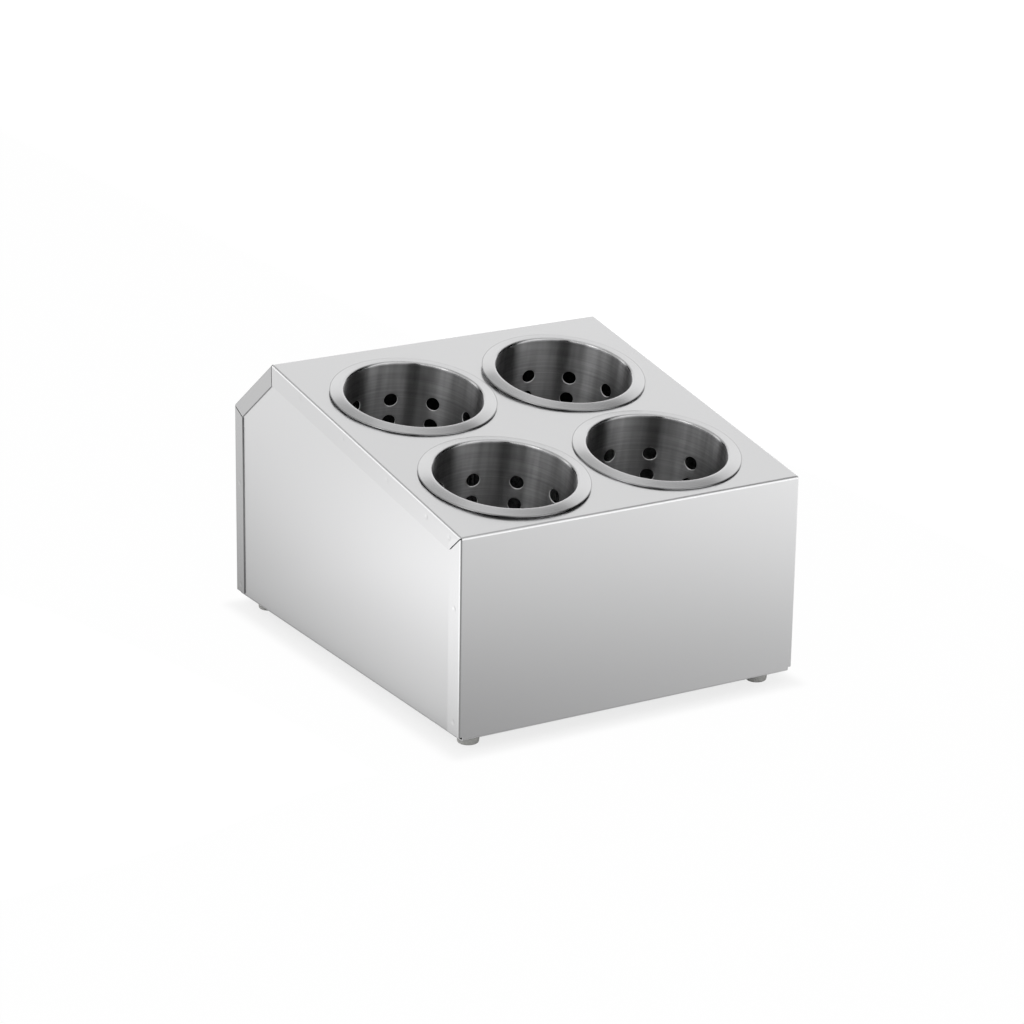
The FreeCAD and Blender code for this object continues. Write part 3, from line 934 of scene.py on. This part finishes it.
class CUTLERY_OT_cylinders(bpy.types.Operator):
    """Roll one perforated wall and press one base, and seat a copy of each at the four mouths"""
    bl_idname = "cutlery.cylinders"
    bl_label = "Cylinders"
    bl_options = {"REGISTER", "UNDO"}

    def execute(self, context):
        housing, cylinders, feet, finishes = settings()
        patterns = {"wall": make_wall(cylinders), "base": make_base(cylinders)}
        for name, (column, row, across, up, turn, lean) in CYLINDERS.items():
            lean = math.radians(lean)
            lie = Matrix.Translation((across, up, cylinders.rim / 2 * math.sin(abs(lean))))
            seat = hole_place(housing, cylinders, column, row) @ lie @ Matrix.Rotation(-lean, 4, "X")
            brushing = rolled_sheet(name + "_brushing", finishes, cylinders, seat)
            place = seat @ Matrix.Rotation(math.radians(turn), 4, "Z")
            for part, pattern in patterns.items():
                piece = twin(pattern, name + "_" + part, place)
                stands_for(piece, name + "_cylinder_" + part, name + "_cylinder", "cylinder_steel", brushing)
        for pattern in patterns.values():
            discard(pattern)
        return {"FINISHED"}


class CUTLERY_OT_feet(bpy.types.Operator):
    """Mould one rubber foot and stand a copy under each corner"""
    bl_idname = "cutlery.feet"
    bl_label = "Feet"
    bl_options = {"REGISTER", "UNDO"}

    def execute(self, context):
        housing, cylinders, feet, finishes = settings()
        pattern = make_foot(feet)
        rubber = pale_rubber("foot_rubber", finishes)
        for name, corner in FEET.items():
            foot = twin(pattern, name + "_rubber", foot_place(housing, feet, corner))
            stands_for(foot, name + "_foot", "housing", "foot_rubber", rubber)
        discard(pattern)
        return {"FINISHED"}


class CUTLERY_OT_fasteners(bpy.types.Operator):
    """Finish the screws, washers and nuts of the feet"""
    bl_idname = "cutlery.fasteners"
    bl_label = "Fasteners"
    bl_options = {"REGISTER", "UNDO"}

    def execute(self, context):
        steel = fastener_steel("fastener_steel", settings()[3])
        for name in ("foot_screws", "foot_washers", "foot_nuts"):
            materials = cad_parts[name].data.materials
            materials.clear()
            materials.append(steel)
        return {"FINISHED"}


class CUTLERY_OT_stage(bpy.types.Operator):
    """Set the camera, a white floor with painted light and shade in mirrors, and soft studio light"""
    bl_idname = "cutlery.stage"
    bl_label = "Stage"
    bl_options = {"REGISTER", "UNDO"}

    def execute(self, context):
        studio = context.scene.cutlery_studio
        context.scene.view_settings.view_transform = "Standard"
        add_camera(studio)
        add_floor(context.scene.cutlery_housing)
        add_sky(studio)
        add_lamp("key", studio.key, 1.6, (-1.5, -1.0, 1.7))
        add_lamp("fill", studio.fill, 2.0, (0.4, -0.3, 2.2))
        return {"FINISHED"}


# Stage
def add_camera(studio):
    bpy.ops.object.camera_add()
    camera = bpy.context.object
    right = Vector(CAMERA_RIGHT)
    up = Vector(CAMERA_UP)
    behind = right.cross(up)
    turn = Matrix((right, up, behind)).transposed().to_4x4()
    camera.matrix_world = Matrix.Translation(CAMERA_PLACE) @ turn
    camera.data.lens = studio.lens
    camera.data.sensor_width = 36
    camera.data.clip_end = 50
    bpy.context.scene.camera = camera


def add_floor(housing):
    """White floor that keeps its own shade close to the object, and in mirrors glows with painted light and
    shade graded by place: darker ahead of the object and at its near left corner, brighter beside it.
    """
    bpy.ops.object.select_all(action="DESELECT")
    bpy.ops.mesh.primitive_plane_add(size=12, location=(0, 0, 0))
    floor = settle("floor")
    material, tree = new_material("white_floor")
    tree.fill(tree.shader, {"Base Color": (0.9, 0.9, 0.9, 1), "Roughness": 1.0, "Specular IOR Level": 0.0})
    axes = tree.axes(tree.place("Object"))
    past = []
    for axis, half in (("X", housing.width / 2), ("Y", housing.depth / 2)):
        reach = tree.calc("SUBTRACT", tree.calc("ABSOLUTE", axes[axis]), half)
        past.append(tree.calc("POWER", tree.calc("MAXIMUM", reach, 0.0), 2.0))
    distance = tree.calc("SQRT", tree.calc("ADD", *past))
    rays = tree.add("ShaderNodeLightPath", {}).outputs
    seen = tree.calc("MULTIPLY", rays["Is Camera Ray"], tree.ramp(distance, *FLOOR_SEEN))
    mirrored = tree.calc("MULTIPLY", tree.mirror_rays(rays), tree.ramp(distance, *FLOOR_MIRRORED))
    # Painted shade and light in mirrors: the floor's glow is darker ahead of the object and at its near left
    # corner, brighter beside it on the left.
    leftwards = tree.calc("MAXIMUM", tree.calc("SUBTRACT", -housing.width / 2, axes["X"]), 0.0)
    forwards = tree.calc("MAXIMUM", tree.calc("SUBTRACT", -housing.depth / 2, axes["Y"]), 0.0005)
    ahead = tree.calc("MULTIPLY_ADD", axes["X"], FLOOR_ACROSS, tree.ramp(distance, *FLOOR_AHEAD))
    beside = tree.calc("MULTIPLY", tree.ramp(leftwards, *FLOOR_BESIDE),
                       tree.ramp(axes["Y"], *FLOOR_BACKWARDS))
    sideways = tree.calc("DIVIDE", leftwards, tree.calc("ADD", leftwards, forwards))
    level = tree.calc("MULTIPLY_ADD", tree.calc("SUBTRACT", beside, ahead), sideways, ahead)
    corner = tree.calc("MULTIPLY", sideways, tree.calc("SUBTRACT", sideways, 1.0))
    level = tree.calc("MULTIPLY_ADD", corner, FLOOR_CORNER, level)
    level = tree.calc("MAXIMUM", level, FLOOR_LEAST)
    glow = tree.add("ShaderNodeEmission", {"Strength": tree.calc("MAXIMUM", rays["Is Camera Ray"], level)})
    mix = tree.add("ShaderNodeMixShader", {
        "Fac": tree.calc("ADD", seen, mirrored),
        1: tree.shader.outputs["BSDF"],
        2: glow.outputs["Emission"],
    })
    tree.fill(tree.nodes["Material Output"], {"Surface": mix.outputs["Shader"]})
    floor.data.materials.append(material)


def add_sky(studio):
    """White studio all round: dimmer overhead and, in mirror rays, with the gaps between its lights."""
    world = bpy.data.worlds.new("studio_sky")
    tree = Tree(world)
    axes = tree.axes(tree.place("Generated"))
    level = tree.ramp(axes["Z"], 0.5, 0.95, 1.0, studio.zenith)
    flat = tree.calc("SQRT", tree.calc("SUBTRACT", 1.0, tree.calc("POWER", axes["Z"], 2.0)))
    flat = tree.calc("MAXIMUM", flat, 0.001)
    for heading, spread, bottom, top, change in STUDIO:
        turn = math.radians(heading)
        along = tree.calc("ADD", tree.calc("MULTIPLY", axes["X"], math.cos(turn)),
                          tree.calc("MULTIPLY", axes["Y"], math.sin(turn)))
        outer = math.cos(math.radians(spread + STUDIO_BLEND))
        inner = math.cos(math.radians(spread - STUDIO_BLEND))
        patch = tree.ramp(tree.calc("DIVIDE", along, flat), outer, inner, 0.0, change)
        for limit, below, above in ((bottom, 0.0, 1.0), (top, 1.0, 0.0)):
            edge = math.sin(math.radians(limit))
            fade = tree.ramp(axes["Z"], edge - STUDIO_FADE, edge + STUDIO_FADE, below, above)
            patch = tree.calc("MULTIPLY", patch, fade)
        level = tree.calc("MULTIPLY", level, tree.calc("ADD", 1.0, patch))
    rays = tree.add("ShaderNodeLightPath", {}).outputs
    seen = rays["Is Camera Ray"]
    mirror = tree.mirror_rays(rays)
    mirrored = tree.calc("MULTIPLY", mirror, level)
    other = tree.calc("SUBTRACT", 1.0, tree.calc("ADD", mirror, seen))
    soft = tree.calc("MULTIPLY", other, studio.sky)
    strength = tree.calc("ADD", tree.calc("ADD", mirrored, soft), seen)
    tree.fill(tree.nodes["Background"], {"Color": (1, 1, 1, 1), "Strength": strength})
    bpy.context.scene.world = world


def add_lamp(name, power, size, place):
    """Large square soft light, aimed at the middle of the object."""
    aim = Vector(AIM) - Vector(place)
    bpy.ops.object.light_add(type="AREA", location=place, rotation=aim.to_track_quat("-Z", "Y").to_euler())
    lamp = bpy.context.object
    lamp.name = name
    lamp.data.size = size
    lamp.data.energy = power


class CUTLERY_PT_panel(bpy.types.Panel):
    """Pieces and settings of the cutlery holder"""
    bl_idname = "CUTLERY_PT_panel"
    bl_label = "Cutlery Holder"
    bl_space_type = "VIEW_3D"
    bl_region_type = "UI"
    bl_category = "Cutlery Holder"

    def draw(self, context):
        for operator in OPERATORS:
            self.layout.operator(operator.bl_idname)
        for name in GROUPS:
            group = getattr(context.scene, name)
            box = self.layout.box()
            box.label(text=name.replace("cutlery_", "").title())
            for key in group.__annotations__:
                box.prop(group, key)


GROUPS = {
    "cutlery_housing": HousingSizes,
    "cutlery_cylinders": CylinderSizes,
    "cutlery_feet": FootSizes,
    "cutlery_finishes": Finishes,
    "cutlery_studio": StudioSettings,
}
OPERATORS = (
    CUTLERY_OT_wrapper,
    CUTLERY_OT_side_panels,
    CUTLERY_OT_cylinders,
    CUTLERY_OT_feet,
    CUTLERY_OT_fasteners,
    CUTLERY_OT_stage,
)


def register():
    for group in GROUPS.values():
        bpy.utils.register_class(group)
    for operator in OPERATORS:
        bpy.utils.register_class(operator)
    bpy.utils.register_class(CUTLERY_PT_panel)
    for name, group in GROUPS.items():
        setattr(bpy.types.Scene, name, PointerProperty(type=group))


def unregister():
    for name in GROUPS:
        delattr(bpy.types.Scene, name)
    bpy.utils.unregister_class(CUTLERY_PT_panel)
    for operator in reversed(OPERATORS):
        bpy.utils.unregister_class(operator)
    for group in reversed(GROUPS.values()):
        bpy.utils.unregister_class(group)


def main():
    register()
    bpy.ops.cutlery.wrapper()
    bpy.ops.cutlery.side_panels()
    bpy.ops.cutlery.cylinders()
    bpy.ops.cutlery.feet()
    bpy.ops.cutlery.fasteners()
    bpy.ops.cutlery.stage()


if __name__ == "__main__":
    main()
